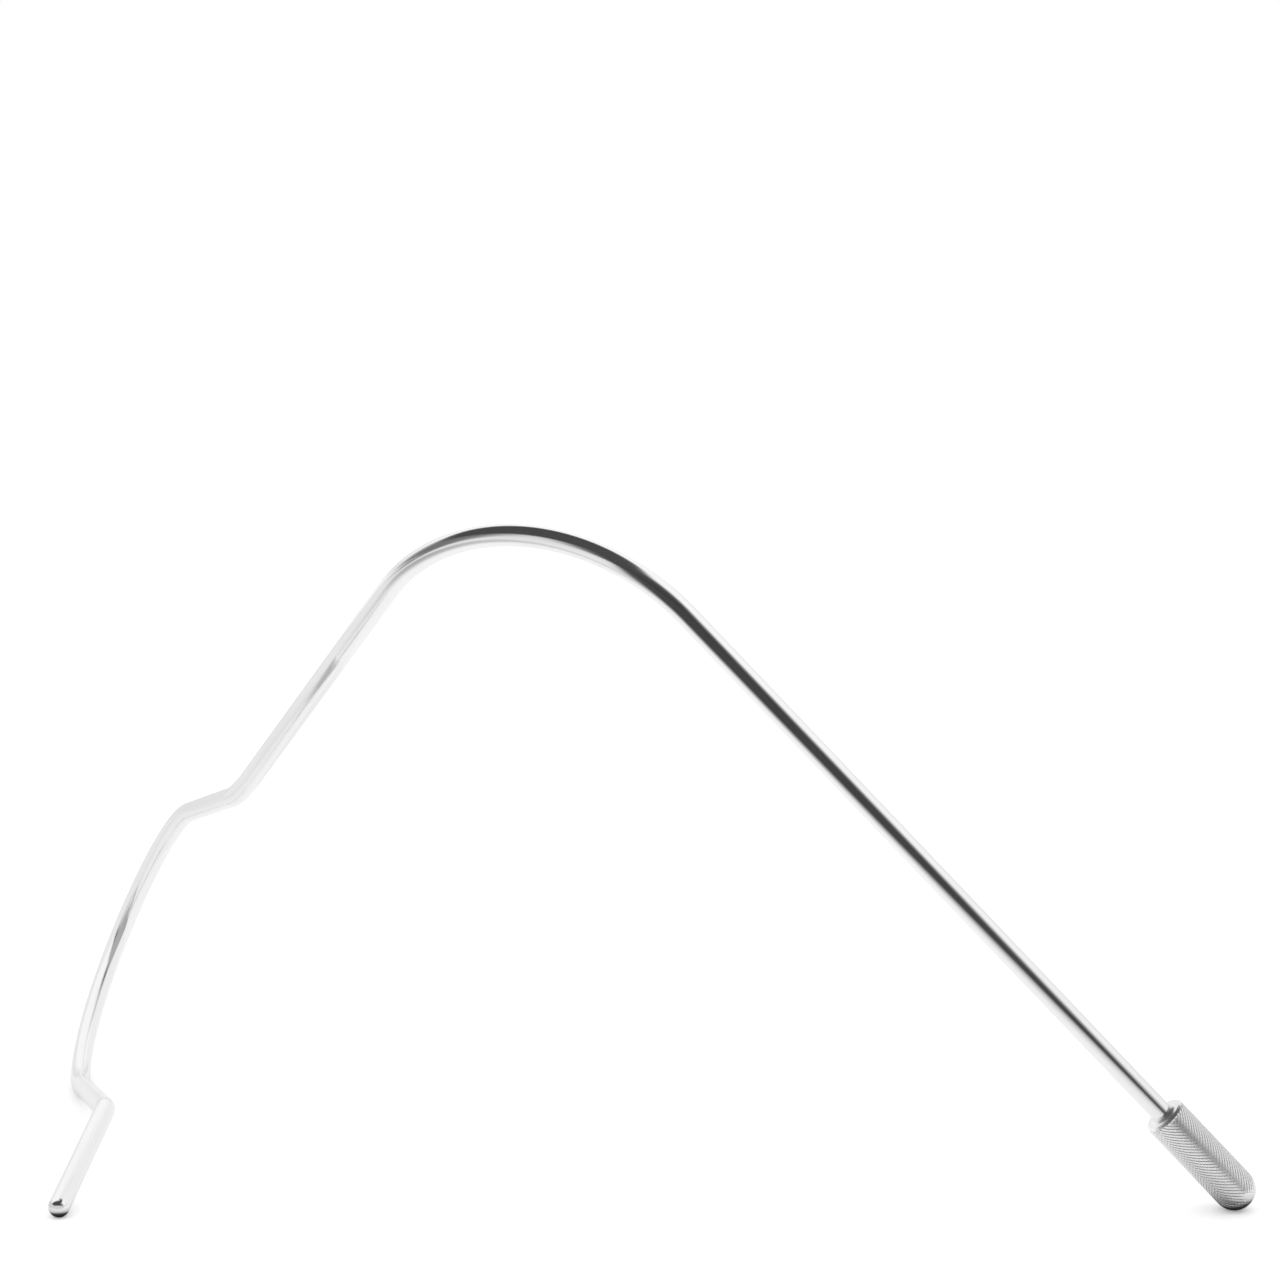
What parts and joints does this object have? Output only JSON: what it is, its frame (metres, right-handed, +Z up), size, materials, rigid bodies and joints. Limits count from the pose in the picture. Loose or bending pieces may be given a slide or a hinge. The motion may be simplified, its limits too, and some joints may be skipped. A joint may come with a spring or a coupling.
{
  "type": "surgical retractor",
  "caption": "Hook retractor: a round steel rod bent in three dimensions to a deep open hook, with a domed tip and a knurled grip brazed on.",
  "frame": {"origin": "on the surface that the part stands on, under the middle of its outline", "axes": "+X from the tip towards the grip, +Y from the side of the shaft towards the hook, +Z up"},
  "size_m": [0.2886, 0.169, 0.1607],
  "materials": {
    "rod_steel": "stainless steel polished along the rod",
    "grip_steel": "turned stainless steel with a fine diamond knurl"
  },
  "bodies": {
    "root": {"bent_rod": "rod_steel", "knurled_grip": "grip_steel"}
  },
  "joints": []
}
